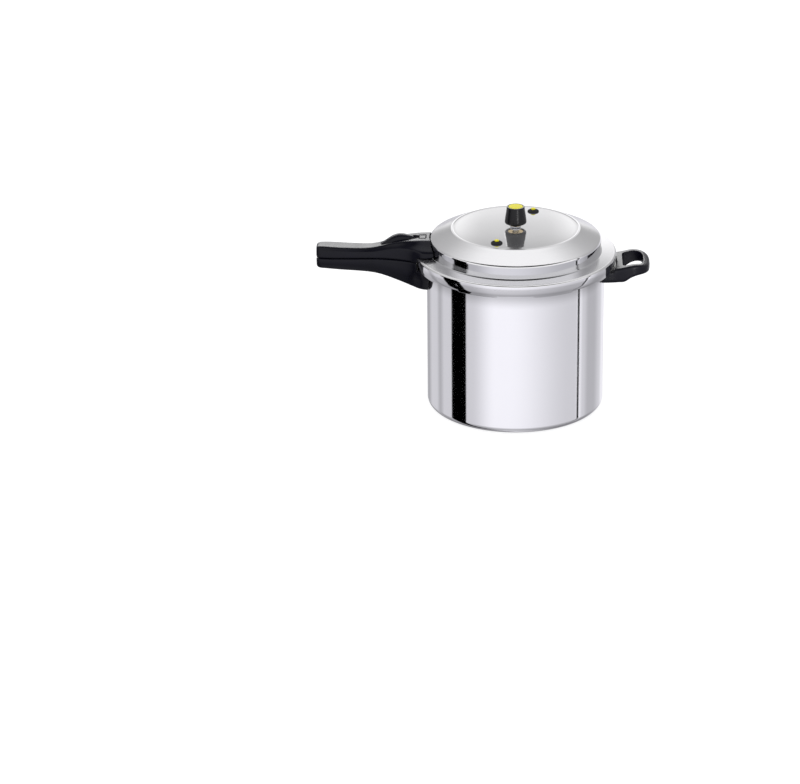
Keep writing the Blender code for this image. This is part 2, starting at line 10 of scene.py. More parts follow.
import bmesh
import bpy
import mathutils
import numpy as np
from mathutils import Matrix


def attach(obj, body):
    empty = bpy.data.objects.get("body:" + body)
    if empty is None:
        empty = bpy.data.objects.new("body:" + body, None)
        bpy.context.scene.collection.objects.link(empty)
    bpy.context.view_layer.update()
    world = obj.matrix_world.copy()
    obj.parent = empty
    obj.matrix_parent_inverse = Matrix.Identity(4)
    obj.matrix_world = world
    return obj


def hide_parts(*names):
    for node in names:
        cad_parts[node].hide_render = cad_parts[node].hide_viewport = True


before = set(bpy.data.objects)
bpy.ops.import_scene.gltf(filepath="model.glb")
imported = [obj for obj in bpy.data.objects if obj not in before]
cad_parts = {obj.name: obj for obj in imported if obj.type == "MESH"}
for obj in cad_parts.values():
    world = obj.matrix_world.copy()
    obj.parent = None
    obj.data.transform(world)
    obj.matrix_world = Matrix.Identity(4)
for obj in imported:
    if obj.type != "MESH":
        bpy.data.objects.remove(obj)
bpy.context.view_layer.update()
MM = 0.001
scene = bpy.context.scene

# %% [markdown]
# ## Camera
#
# A product shot of a shiny pot is taken from far away with a long lens, so that its
# sides look parallel. The camera stands 4 m off, looks down 23 degrees, and aims a
# little to one side. Its three directions are given as the columns of its matrix,
# which says the same as three angles without having to choose their order.

# %% Camera
camera = bpy.data.objects.new("camera", bpy.data.cameras.new("camera"))
scene.collection.objects.link(camera)
right = np.array((0.99935, 0.034573, -0.010255))
up = np.array((-0.004198, 0.393996, 0.919103))
place = np.eye(4)
place[:3, 0], place[:3, 1], place[:3, 2] = right, up, np.cross(right, up)
place[:3, 3] = (0.0, -3.7183, 1.60369)
camera.matrix_world = place.T.tolist()
camera.data.lens = 144.277
camera.data.sensor_width = 36.0
scene.camera = camera
print("camera at", [round(v, 2) for v in camera.location], "lens", camera.data.lens)

# %% [markdown]
# ## Node helpers
#
# Every finish here is a small graph of nodes. A few short helpers keep the graphs
# readable: they do arithmetic, stretch one range of values to another, read a value
# through a ramp of greys or colours, and blend two colours.

# %% Node helpers


def plug(tree, value, socket):
    """Feed a socket from another socket, or set it to a plain number."""
    if isinstance(value, bpy.types.NodeSocket):
        tree.links.new(value, socket)
    else:
        socket.default_value = value


def calc(tree, operation, *values):
    """One arithmetic step on one, two or three values."""
    node = tree.nodes.new("ShaderNodeMath")
    node.operation = operation
    for value, socket in zip(values, node.inputs):
        plug(tree, value, socket)
    return node.outputs[0]


def stretch(tree, value, low, high, to_low=0.0, to_high=1.0, kind="SMOOTHSTEP"):
    """to_low at low, to_high at high, and an eased line between them."""
    node = tree.nodes.new("ShaderNodeMapRange")
    node.interpolation_type = kind
    for name, number in (("Value", value), ("From Min", low), ("From Max", high),
                         ("To Min", to_low), ("To Max", to_high)):
        plug(tree, number, node.inputs[name])
    return node.outputs[0]


def ramp(tree, value, stops):
    """Colours at places from 0 to 1, joined by straight lines."""
    node = tree.nodes.new("ShaderNodeValToRGB")
    spots = node.color_ramp.elements
    while len(spots) < len(stops):
        spots.new(0.5)
    for spot, (place_on_ramp, colour) in zip(spots, stops):
        spot.position = place_on_ramp
        spot.color = (*colour, 1.0)
    plug(tree, value, node.inputs[0])
    return node.outputs[0]


def grey_ramp(tree, value, stops):
    """Amounts of light at places from 0 to 1, joined by straight lines."""
    return ramp(tree, value, [(spot, (light,) * 3) for spot, light in stops])


def blend_colour(tree, share, first, second, kind="MIX"):
    """first where share is 0, second where it is 1."""
    node = tree.nodes.new("ShaderNodeMix")
    node.data_type = "RGBA"
    node.blend_type = kind
    plug(tree, share, node.inputs[0])
    for value, socket in ((first, node.inputs[6]), (second, node.inputs[7])):
        if isinstance(value, tuple):
            value = (*value, 1.0)
        plug(tree, value, socket)
    return node.outputs[2]


print("helpers: plug, calc, stretch, ramp, grey_ramp, blend_colour")

# %% [markdown]
# ## Studio: what the metal reflects
#
# Polished aluminium has almost no colour of its own: its look is the look of the room.
# A light tent is drawn in the world: a pale wall with a few panels that brighten or
# darken it, one tall black card on the left, and a thin black seam on the right.
# Lamps would give small hot spots, which this metal doesn't show, and card objects
# would cast shadows. All of it is worked out from two numbers: the bearing of the ray
# from the front, and its height above the horizon.

# %% The tent round the object
# Each panel: the bearings where it starts, is full, begins to fade and ends, in degrees
# from the front with plus to the right, and the light that it adds to the plain wall.
PLAIN_WALL = 0.68
WALL_PANELS = {
    "front lamp": (-60, -25, -10, 80, 0.35),
    "right strip": (85, 92, 93, 100, 0.25),
    "right shade": (100, 112, 124, 144, -0.18),
    "right back lamp": (142, 158, 160, 180, 0.25),
    "left back shade": (-180, -158, -156, -138, -0.25),
    "left gap": (-125, -116, -115, -106, -0.20),
}
COOL = (0.985, 0.98, 1.03)

world = bpy.data.worlds.new("tent")
scene.world = world
world.use_nodes = True
tent = world.node_tree
tent.nodes.clear()
ray = tent.nodes.new("ShaderNodeSeparateXYZ")
tent.links.new(tent.nodes.new("ShaderNodeTexCoord").outputs["Generated"], ray.inputs[0])
ray_x, ray_y, ray_z = ray.outputs
to_degrees = 180 / np.pi
bearing = calc(tent, "MULTIPLY",
               calc(tent, "ARCTAN2", ray_x, calc(tent, "MULTIPLY", ray_y, -1.0)), to_degrees)
height = calc(tent, "MULTIPLY", calc(tent, "ARCSINE", ray_z), to_degrees)


def panel(start, full, fading, end):
    """1 on the bearings from full to fading, 0 outside start and end, eased between."""
    return calc(tent, "SUBTRACT", stretch(tent, bearing, start, full),
                stretch(tent, bearing, fading, end))


wall_light = PLAIN_WALL
for *span, light in WALL_PANELS.values():
    wall_light = calc(tent, "ADD", wall_light, calc(tent, "MULTIPLY", panel(*span), light))
wall = blend_colour(tent, 1.0, wall_light, COOL, "MULTIPLY")
cards = calc(tent, "ADD", panel(-92.1, -90.7, -67.3, -65.9), panel(88.5, 89.5, 91.9, 92.9))
print("tent wall with", len(WALL_PANELS), "panels and two black cards")

# %% [markdown]
# Below the horizon the walls darken towards the table, which gives the pot's bottom
# corner its grey line. Above it a sheet hangs behind the cooker, brightest low down,
# darker with height and lighter along its two edges: the flat of the lid mirrors it.
# On the camera's side the vault is bright below 35 degrees and dark from about 42 to
# 80, where only rolled edges see it. The black cards reach up to about 19 degrees.

# %% Floor side, ceiling and what lights the scene
deep = grey_ramp(tent, stretch(tent, height, -90.0, 0.0, kind="LINEAR"), [
    (0.0, 0.95), (0.16, 0.75), (0.30, 0.42), (0.44, 0.46),
    (0.62, 0.66), (0.69, 0.72), (0.737, 1.0), (1.0, 1.0),
])
from_back = calc(tent, "MULTIPLY", calc(tent, "ARCTAN2", ray_x, ray_y), to_degrees)
off_back = calc(tent, "ABSOLUTE", from_back)
vault = grey_ramp(tent, stretch(tent, height, 0.0, 90.0, kind="LINEAR"), [
    (0.0, 0.50), (0.18, 0.42), (0.40, 0.50), (0.55, 0.72),
    (0.68, 0.98), (1.0, 1.02),
])
from_front = calc(tent, "ABSOLUTE", bearing)
facing = stretch(tent, from_front, 78.0, 112.0, 1.0, 0.0)
front_vault = grey_ramp(tent, stretch(tent, height, 0.0, 90.0, kind="LINEAR"), [
    (0.0, 0.80), (0.36, 1.1), (0.43, 0.35), (0.47, 0.03),
    (0.89, 0.03), (0.95, 0.60), (1.0, 1.0),
])
off_axis = stretch(tent, off_back, 10.0, 17.0, 1.0, 0.0)
cloth = calc(tent, "MULTIPLY", off_axis, stretch(tent, height, 34.0, 46.0, 1.0, 0.0))
above = calc(tent, "ADD", vault, calc(tent, "MULTIPLY", cloth, 0.52))
sheet = grey_ramp(tent, stretch(tent, height, 0.0, 90.0, kind="LINEAR"), [
    (0.0, 0.70), (0.15, 0.95), (0.20, 0.86), (0.222, 0.72), (0.24, 0.59),
    (0.256, 0.49), (0.278, 0.42), (0.40, 0.42), (1.0, 0.50),
])
edges = calc(tent, "MULTIPLY", stretch(tent, off_back, 1.0, 2.5),
             stretch(tent, height, 20.6, 23.6, 0.34, 0.0))
sheet = calc(tent, "ADD", sheet, edges)
behind = calc(tent, "MULTIPLY", stretch(tent, off_back, 5.0, 10.0, 1.0, 0.0),
              stretch(tent, height, 30.0, 38.0, 1.0, 0.0))


lower = blend_colour(tent, 1.0, wall, deep, "MULTIPLY")
lower = blend_colour(tent, cards, lower, (0.0, 0.0, 0.0))
overhead = blend_colour(tent, facing, blend_colour(tent, behind, above, sheet), front_vault)
overhead = blend_colour(tent, calc(tent, "MULTIPLY", cards, stretch(tent, height, 17.0, 21.0, 1.0, 0.0)),
                        overhead, (0.0, 0.0, 0.0))
mirrored = blend_colour(tent, stretch(tent, height, -1.0, 3.0), lower, overhead)
daylight = blend_colour(tent, stretch(tent, height, -12.0, 8.0), (0.10, 0.10, 0.11), (1.05, 1.05, 1.07))
seen_in_gloss = tent.nodes.new("ShaderNodeLightPath").outputs["Is Glossy Ray"]
backdrop = tent.nodes.new("ShaderNodeBackground")
tent.links.new(blend_colour(tent, seen_in_gloss, daylight, mirrored), backdrop.inputs["Color"])
tent.links.new(backdrop.outputs[0], tent.nodes.new("ShaderNodeOutputWorld").inputs[0])
scene.view_settings.view_transform = "Standard"
print("world nodes:", len(tent.nodes))

# %% [markdown]
# ## Floor
#
# White card, lit so strongly that it burns out to plain white, with only a faint shadow
# where the pot stands. Part of its light is its own glow, so that the shadow stays
# faint. Mirrors and plastics don't see it: they see the tent, as in a light tent whose
# floor is cut away under the camera's view.

# %% Floor
FLOOR_HALF = 6.0
corners = np.array([(-1, -1), (1, -1), (1, 1), (-1, 1)], float) * FLOOR_HALF
floor_mesh = bpy.data.meshes.new("floor")
floor_mesh.from_pydata([(x, y, -0.0002) for x, y in corners], [], [(0, 1, 2, 3)])
floor = bpy.data.objects.new("floor", floor_mesh)
scene.collection.objects.link(floor)
floor.visible_glossy = False
floor.visible_diffuse = False
floor_look = bpy.data.materials.new("white card")
floor_look.use_nodes = True
floor_shader = floor_look.node_tree.nodes["Principled BSDF"]
floor_shader.inputs["Base Color"].default_value = (0.44, 0.44, 0.44, 1.0)
floor_shader.inputs["Roughness"].default_value = 1.0
floor_shader.inputs["Specular IOR Level"].default_value = 0.0
floor_shader.inputs["Emission Color"].default_value = (1.0, 1.0, 1.0, 1.0)
floor_shader.inputs["Emission Strength"].default_value = 0.72
floor_mesh.materials.append(floor_look)
print("floor", 2 * FLOOR_HALF, "m square")

# %% [markdown]
# ## Finishes
#
# Each finish is one Principled shader. What varies over the surface comes from noise on
# Object coordinates, which stay put whatever the view. Turned metal gets its fine rings
# by reading noise at (radius, height) instead of (x, y, z): all points of one ring then
# get the same value. A constant is set on the shader's own socket.

# %% Finish helpers


def finish(name, colour, metallic, roughness, specular=0.5):
    """A new material with a Principled shader set to plain numbers."""
    look = bpy.data.materials.new(name)
    look.use_nodes = True
    shader = look.node_tree.nodes["Principled BSDF"]
    shader.inputs["Base Color"].default_value = (*colour, 1.0)
    shader.inputs["Metallic"].default_value = metallic
    shader.inputs["Roughness"].default_value = roughness
    shader.inputs["Specular IOR Level"].default_value = specular
    return look, look.node_tree, shader


def object_point(tree):
    return tree.nodes.new("ShaderNodeTexCoord").outputs["Object"]


def noise(tree, point, scale, detail=3.0, roughness=0.55):
    node = tree.nodes.new("ShaderNodeTexNoise")
    node.inputs["Scale"].default_value = scale
    node.inputs["Detail"].default_value = detail
    node.inputs["Roughness"].default_value = roughness
    tree.links.new(point, node.inputs["Vector"])
    return node.outputs["Fac"]


def ring_point(tree, wander=0.02):
    """(radius, a trace of the bearing, height): equal all round a turned ring."""
    split = tree.nodes.new("ShaderNodeSeparateXYZ")
    tree.links.new(object_point(tree), split.inputs[0])
    x, y, z = split.outputs
    radius = calc(tree, "SQRT", calc(tree, "ADD", calc(tree, "MULTIPLY", x, x),
                                     calc(tree, "MULTIPLY", y, y)))
    join = tree.nodes.new("ShaderNodeCombineXYZ")
    tree.links.new(radius, join.inputs[0])
    tree.links.new(calc(tree, "MULTIPLY", calc(tree, "COSINE", calc(tree, "ARCTAN2", y, x)),
                        wander * MM), join.inputs[1])
    tree.links.new(z, join.inputs[2])
    return join.outputs[0]


def bump(tree, shader, height_field, depth, strength=1.0):
    """Raise the surface by height_field times depth metres, in shading only."""
    node = tree.nodes.new("ShaderNodeBump")
    node.inputs["Strength"].default_value = strength
    node.inputs["Distance"].default_value = depth
    tree.links.new(height_field, node.inputs["Height"])
    tree.links.new(node.outputs[0], shader.inputs["Normal"])


def tint(tree, shader, field, dark, light):
    """Base colour between two close tones, by a field around one half."""
    tree.links.new(ramp(tree, field, [(0.3, dark), (0.7, light)]), shader.inputs["Base Color"])


print("finish helpers ready")

# %% [markdown]
# ### Metals
#
# The outside is buffed to a mirror, on which only very fine rings and a faint haze are
# left. The flat of the lid has a little more haze: the weight's reflection is grey, not
# black. The brim and the shoulder are buffed less. The inside is left as spun: satin,
# with rings you can feel. The hardware is zinc-plated steel and turned brass.

# %% Aluminium


def turned_metal(name, colour, low, high, ring_scale, depth, metallic=1.0, haze=0.0):
    """Metal with rings: roughness from low to high and grooves of that depth."""
    look, tree, shader = finish(name, colour, metallic, low)
    point = ring_point(tree)
    rings = noise(tree, point, ring_scale, 4.0, 0.6)
    cloud = noise(tree, object_point(tree), 24.0, 2.0)
    mixed = calc(tree, "ADD", calc(tree, "MULTIPLY", rings, 0.7), calc(tree, "MULTIPLY", cloud, 0.3))
    tree.links.new(stretch(tree, mixed, 0.32, 0.68, low, high, "LINEAR"), shader.inputs["Roughness"])
    shade = tuple(c * (0.965 - haze) for c in colour)
    tint(tree, shader, mixed, shade, colour)
    if depth:
        bump(tree, shader, rings, depth)
    return look


def paint_shade_towards_brim(look, start, end, share):
    """Painted shade under the brim: scale the colour from 1 at height start to share at height end, both in
    metres.
    """
    tree = look.node_tree
    colour = tree.nodes["Principled BSDF"].inputs["Base Color"]
    plain = colour.links[0].from_socket
    split = tree.nodes.new("ShaderNodeSeparateXYZ")
    tree.links.new(object_point(tree), split.inputs[0])
    scale = tree.nodes.new("ShaderNodeVectorMath")
    scale.operation = "SCALE"
    tree.links.new(plain, scale.inputs[0])
    tree.links.new(stretch(tree, split.outputs[2], start, end, 1.0, share), scale.inputs["Scale"])
    tree.links.new(scale.outputs[0], colour)


# Painted shade: the wall's colour darkens towards the brim, and the riser's colour is darker all over.
mirror = turned_metal("buffed aluminium", (0.915, 0.91, 0.93), 0.035, 0.10, 900.0, 0.0)
wall_metal_with_painted_shade = turned_metal("buffed aluminium of the wall, painted shade under the brim", (0.915, 0.91, 0.93), 0.035, 0.10, 900.0, 0.0)
paint_shade_towards_brim(wall_metal_with_painted_shade, 0.163, 0.184, 0.60)
# Painted shade: the riser is a darker copy of the buffed metal.
riser_metal_with_painted_shade = turned_metal("buffed aluminium of the riser, painted shade", (0.66, 0.66, 0.68), 0.035, 0.10, 900.0, 0.0)
disc_metal = turned_metal("hazed aluminium", (0.915, 0.91, 0.925), 0.05, 0.09, 1400.0, 0.0, 0.93)
brim_metal = turned_metal("fine turned aluminium", (0.91, 0.905, 0.925), 0.14, 0.22, 1600.0, 0.0000010, 1.0)
spun_metal = turned_metal("spun aluminium", (0.80, 0.80, 0.82), 0.28, 0.42, 1100.0, 0.000010, 1.0, 0.04)
print("aluminium finishes: 6")

# %% Steel and brass


def plated(name, colour, low, high, cloud_scale, depth):
    """Metal with cloudy plating: patches of roughness and a trace of orange peel."""
    look, tree, shader = finish(name, colour, 1.0, low)
    cloud = noise(tree, object_point(tree), cloud_scale, 4.0)
    tree.links.new(stretch(tree, cloud, 0.3, 0.7, low, high, "LINEAR"), shader.inputs["Roughness"])
    tint(tree, shader, cloud, tuple(c * 0.86 for c in colour), colour)
    bump(tree, shader, noise(tree, object_point(tree), cloud_scale * 9, 2.0), depth)
    return look


zinc = plated("zinc plate", (0.66, 0.67, 0.70), 0.22, 0.40, 260.0, 0.00002)
yellow_brass = plated("turned brass", (0.80, 0.62, 0.32), 0.18, 0.34, 300.0, 0.00001)
print("hardware finishes: 2")

# %% [markdown]
# ### Plastics and rubber
#
# The grips are phenolic, pressed in a steel mould: nearly black with a blue cast, satin,
# with a very fine grain, and a little lighter where hands polish it. The weight's disc
# and the pins are glossy yellow. The valve seals and the lip seal are matt rubber.

# %% Plastics and rubber


def moulded(name, colour, low, high, grain, depth, lift=1.5, specular=0.5):
    """Moulded material: fine grain, soft patches of gloss and a slight change of tone."""
    look, tree, shader = finish(name, colour, 0.0, low, specular)
    patches = noise(tree, object_point(tree), 55.0, 3.0)
    tree.links.new(stretch(tree, patches, 0.3, 0.7, low, high, "LINEAR"), shader.inputs["Roughness"])
    tint(tree, shader, patches, colour, tuple(min(1.0, c * lift) for c in colour))
    bump(tree, shader, noise(tree, object_point(tree), grain, 2.0), depth)
    return look


bakelite = moulded("black phenolic", (0.0035, 0.0035, 0.0075), 0.26, 0.33, 1800.0, 0.000007, 1.5, 0.22)
jacket_black = moulded("black jacket plastic", (0.005, 0.005, 0.006), 0.22, 0.30, 1500.0, 0.00001, 1.5, 0.3)
signal_yellow = moulded("signal yellow plastic", (0.76, 0.69, 0.012), 0.28, 0.38, 900.0, 0.00001, 1.06)
soft_black = moulded("soft black rubber", (0.010, 0.010, 0.011), 0.55, 0.75, 1300.0, 0.00003, 1.6, 0.35)
print("moulded finishes: 4")

# %% [markdown]
# ## Surfaces from numpy
#
# Nearly every piece here is one of two things: a profile turned round an axis, or a
# cross-section carried along the handle. Both are a grid of points, with one index
# along the profile and one along the way, so one function can skin them both. A grid
# whose end rings shrink to a point closes there, because doubles are merged.

# %% Skin a grid


def skin(name, grid, looks, look_rows=None, close_rows=True):
    """grid[i, j] are points in mm; i goes round or along, j round the profile, which closes.
    Faces join neighbours; equal points are merged; the volume's sign says which way is out."""
    count, width = grid.shape[:2]
    points = grid.reshape(-1, 3) * MM
    i = np.arange(count if close_rows else count - 1)
    a, b = np.meshgrid(i, np.arange(width), indexing="ij")
    c, d = (a + 1) % count, (b + 1) % width
    quads = np.stack([a * width + b, c * width + b, c * width + d, a * width + d], -1).reshape(-1, 4)
    mesh = bpy.data.meshes.new(name)
    mesh.vertices.add(len(points))
    mesh.vertices.foreach_set("co", points.ravel())
    mesh.loops.add(quads.size)
    mesh.loops.foreach_set("vertex_index", quads.ravel().astype(np.int32))
    mesh.polygons.add(len(quads))
    mesh.polygons.foreach_set("loop_start", np.arange(0, quads.size, 4, dtype=np.int32))
    if look_rows is not None:
        mesh.polygons.foreach_set("material_index", np.tile(look_rows, len(i)).astype(np.int32))
    mesh.update(calc_edges=True)
    for look in looks:
        mesh.materials.append(look)
    work = bmesh.new()
    work.from_mesh(mesh)
    bmesh.ops.remove_doubles(work, verts=work.verts[:], dist=2e-6)
    if work.calc_volume(signed=True) < 0:
        bmesh.ops.reverse_faces(work, faces=work.faces[:])
    work.to_mesh(mesh)
    work.free()
    obj = bpy.data.objects.new(name, mesh)
    scene.collection.objects.link(obj)
    smooth(obj)
    return obj


def smooth(obj, angle=38.0):
    """Round shading everywhere but on edges sharper than the angle."""
    mesh = obj.data
    mesh.polygons.foreach_set("use_smooth", np.ones(len(mesh.polygons), bool))
    mesh.set_sharp_from_angle(angle=np.radians(angle))
    mesh.update()


print("skin and smooth ready")

# %% [markdown]
# Real edges are never sharp. Each profile is listed by its corners, each with a fillet
# radius, and the corners are then rounded with a quadratic curve. A point just outside
# each end of a fillet keeps the shading of the flat part next to it flat.

# %% Round the corners of a profile


def rounded(corners, radii, steps=6, closed=True, support=0.5):
    """corners is (..., n, 2) and radii (n,). At each corner a curve runs from the point one
    cut before it to the point one cut after it: (1-t)^2 A + 2t(1-t) P + t^2 B. A radius of
    zero keeps the corner. The cut is the radius, or less where the sides are short."""
    corners = np.asarray(corners, float)
    radii = np.asarray(radii, float)
    before, after = np.roll(corners, 1, -2), np.roll(corners, -1, -2)
    to_before, to_after = before - corners, after - corners
    far_before = np.linalg.norm(to_before, axis=-1, keepdims=True) + 1e-9
    far_after = np.linalg.norm(to_after, axis=-1, keepdims=True) + 1e-9
    cut = radii[:, None] * np.ones_like(far_before)
    cut_before, cut_after = np.minimum(cut, 0.42 * far_before), np.minimum(cut, 0.42 * far_after)
    pad_before = np.minimum(support, 0.12 * far_before)
    pad_after = np.minimum(support, 0.12 * far_after)
    start = corners + to_before / far_before * cut_before
    end = corners + to_after / far_after * cut_after
    t = np.linspace(0, 1, steps)[:, None]
    curve = (start[..., None, :] * (1 - t) ** 2 + corners[..., None, :] * 2 * t * (1 - t)
             + end[..., None, :] * t ** 2)
    lead = (start + to_before / far_before * pad_before)[..., None, :]
    tail = (end + to_after / far_after * pad_after)[..., None, :]
    rows = np.concatenate([lead, curve, tail], -2)
    plain = radii <= 0
    if not closed:
        plain[[0, -1]] = True
    keep = np.ones((len(radii), steps + 2), bool)
    keep[plain] = False
    keep[plain, 1] = True
    rows[..., plain, 1, :] = corners[..., plain, :]
    flat = rows.reshape(*rows.shape[:-3], -1, 2)
    return flat[..., keep.reshape(-1), :]


def turn(profile, azimuths, centre=(0.0, 0.0)):
    """Points of a profile turned round Z: (cx + r cos a, cy + r sin a, z). The profile is
    (n, 2) or, where it changes with the bearing, (azimuths, n, 2)."""
    profile = np.asarray(profile, float)
    if profile.ndim == 2:
        profile = np.broadcast_to(profile, (len(azimuths), *profile.shape))
    a = np.radians(azimuths)[:, None]
    r, z = profile[..., 0], profile[..., 1]
    return np.stack([centre[0] + r * np.cos(a), centre[1] + r * np.sin(a), z], -1)


ROUND = np.arange(0.0, 360.0, 1.25)
print("rounded and turn ready,", len(ROUND), "bearings round a small part")

# %% [markdown]
# Holes and seats are cut with a Boolean and applied at once, so that what is left is
# plain mesh. A moulded part is then rebuilt from small cubes and relaxed, which rolls
# all its edges over by the same half millimetre, as a mould does.

# %% Cut, join and relax


def settle(obj):
    """Replace the mesh by what its modifiers make of it."""
    graph = bpy.context.evaluated_depsgraph_get()
    mesh = bpy.data.meshes.new_from_object(obj.evaluated_get(graph))
    obj.modifiers.clear()
    obj.data = mesh


def carve(obj, *tools, operation="DIFFERENCE"):
    """Cut each tool from obj, or join it, and throw the tool away."""
    for tool in tools:
        step = obj.modifiers.new(tool.name, "BOOLEAN")
        step.operation = operation
        step.solver = "MANIFOLD"
        step.object = tool
        settle(obj)
        bpy.data.objects.remove(tool)
    return obj


def relax(obj, cube, rounds, look):
    """Rebuild from cubes of that size in mm, then even out the surface that many times."""
    step = obj.modifiers.new("cubes", "REMESH")
    step.mode = "VOXEL"
    step.voxel_size = cube * MM
    step.adaptivity = 0.0
    even = obj.modifiers.new("even", "SMOOTH")
    even.factor = 0.5
    even.iterations = rounds
    settle(obj)
    obj.data.materials.clear()
    obj.data.materials.append(look)
    smooth(obj, 180.0)
    return obj


def block(name, low, high):
    """A plain cutter box, corner to corner, in mm."""
    (x0, y0, z0), (x1, y1, z1) = low, high
    ring = np.array([(y0, z0), (y1, z0), (y1, z1), (y0, z1)], float)
    return along(name, np.array([x0, x1], float), np.stack([ring, ring]), [])


def along(name, xs, rings, looks):
    """Rings of (y, z) at each x, with an end cap where the last ring shrinks to its middle."""
    grid = np.concatenate([np.broadcast_to(xs[:, None, None], (*rings.shape[:2], 1)), rings], -1)
    first, last = grid[:1].mean(1, keepdims=True), grid[-1:].mean(1, keepdims=True)
    shape = (1, rings.shape[1], 3)
    grid = np.concatenate([np.broadcast_to(first, shape), grid, np.broadcast_to(last, shape)])
    return skin(name, grid, looks, close_rows=False)


def pipe_cut(name, start, end, radius, count=48):
    """A round cutter from start to end, in mm."""
    start, end = np.array(start, float), np.array(end, float)
    way = (end - start) / np.linalg.norm(end - start)
    side = np.cross(way, (0.0, 0.0, 1.0) if abs(way[2]) < 0.9 else (1.0, 0.0, 0.0))
    side /= np.linalg.norm(side)
    other = np.cross(way, side)
    a = np.linspace(0, 2 * np.pi, count, endpoint=False)[:, None]
    ring = radius * (np.cos(a) * side + np.sin(a) * other)
    grid = np.stack([start + 0 * ring, start + ring, end + ring, end + 0 * ring])
    return skin(name, grid, [], close_rows=False)


def take_place(obj, body, slot, *nodes):
    """The piece rides on its body and stands for its CAD nodes. The slot is not used."""
    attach(obj, body)
    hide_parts(*nodes)
    obj.data.calc_loop_triangles()
    print(f"{obj.name}: {len(obj.data.loop_triangles)} triangles, stands for {', '.join(nodes)}")


print("carve, relax and take_place ready")

# %% [markdown]
# ## Pot
#
# A deep-drawn aluminium pot: the wall is straight, the bottom corner is round, and the
# rim is rolled out into a flange with eight lugs that the lid's lugs grip from below.
# It is one profile turned round the axis. On a lug the flange is 4.6 mm wider, and the
# change is eased over half a degree, with extra bearings there so that it stays crisp.

# %% Lug pattern
LUG_PITCH = 45.0


def lug_bearings(half, ease):
    """Bearings for eight lugs: fine steps where a lug begins and ends, coarse between."""
    inside = np.linspace(-half, half, 14)
    step = np.linspace(0, ease, 6)[1:]
    outside = np.linspace(half + ease, LUG_PITCH - half - ease, 17)[1:]
    one = np.concatenate([inside, half + step, outside, LUG_PITCH - half - ease + step[:-1]])
    return (np.arange(8)[:, None] * LUG_PITCH + one).ravel()


def lug_share(bearings, half, ease):
    """1 on a lug, 0 between lugs, easing as 3t^2 - 2t^3 over the step."""
    off = np.abs((bearings + LUG_PITCH / 2) % LUG_PITCH - LUG_PITCH / 2)
    t = np.clip((half + ease - off) / ease, 0, 1)
    return t * t * (3 - 2 * t)


# %% Pot shape
POT_LUG_HALF, POT_EASE = 11.2, 0.6


def corner(middle, radius, start, end, count=14):
    """Points of a round corner, angles in degrees."""
    a = np.radians(np.linspace(start, end, count))
    return np.stack([middle[0] + radius * np.cos(a), middle[1] + radius * np.sin(a)], -1)


def pot_profile(edge):
    """The pot's closed half outline for a flange that reaches out to edge."""
    flange = rounded([(110, 184), (110, 189.8), (112, 190.9), (edge, 190.9), (edge, 193.9),
                      (107.5, 193.9), (107.5, 184)], [0, 1.4, 0.9, 0.9, 0.9, 1.3, 0],
                     steps=7, closed=False, support=0.25)
    walls = np.linspace(8.6, 184, 12)
    parts = [
        [(0.0, 0.0), (40.0, 0.0), (92.0, 0.0), (101.4, 0.0)],
        corner((102, 8), 8, -90, 0, 22),
        np.stack([np.full_like(walls, 110.0), walls], -1)[:-1],
        flange,
        np.stack([np.full_like(walls, 107.5), walls + 3.2], -1)[::-1][1:],
        corner((101.5, 11.2), 6, 0, -90, 14),
        [(90.0, 5.2), (79.6, 5.2), (79.0, 5.25), (78.4, 5.5), (77.8, 5.6), (77.0, 5.6), (40.0, 5.6),
         (0.0, 5.6)],
    ]
    return np.concatenate([np.asarray(part, float) for part in parts])


bearings = lug_bearings(POT_LUG_HALF, POT_EASE)
share = lug_share(bearings, POT_LUG_HALF, POT_EASE)[:, None, None]
profiles = pot_profile(119.6) * share + pot_profile(115.0) * (1 - share)
rows = np.zeros(profiles.shape[1], int)
middle = (profiles[0] + np.roll(profiles[0], -1, 0)) / 2
rows[(middle[:, 0] < 107.6) & (middle[:, 1] > 3)] = 1
pot = skin("spun_pot", turn(profiles, bearings), [wall_metal_with_painted_shade, spun_metal], rows)
for sign, height_there in ((-1, 177.2), (1, 176.4)):
    for y in (-9.0, 9.0):
        carve(pot, pipe_cut("rivet_way", (sign * 100, y, height_there), (sign * 118, y, height_there), 2.6))
smooth(pot)
take_place(pot, "pot", "aluminium", "pot_body")

# %% [markdown]
# ## Lid
#
# The lid is pressed from sheet: a slightly domed flat, a sloping shoulder, a vertical
# step, a flat brim, and a skirt that bulges a little and ends in eight inward lugs. The
# dome is worked out as 238.5 - 1.9 (r / 79)^2.4, so the flat mirrors evenly in its
# middle and falls away near its edge. A shallow ridge is rolled in where the dome ends.

# %% Lid shape
LID_LUG_HALF, LID_EASE = 10.2, 0.55


def dome(r, top, drop):
    return top - drop * (np.asarray(r) / 79.0) ** 2.4


# The lid's outlines are listed 5.6 mm above their place on the pot, and lowered at the end.
RIM_DROP = np.array((0.0, 5.6))


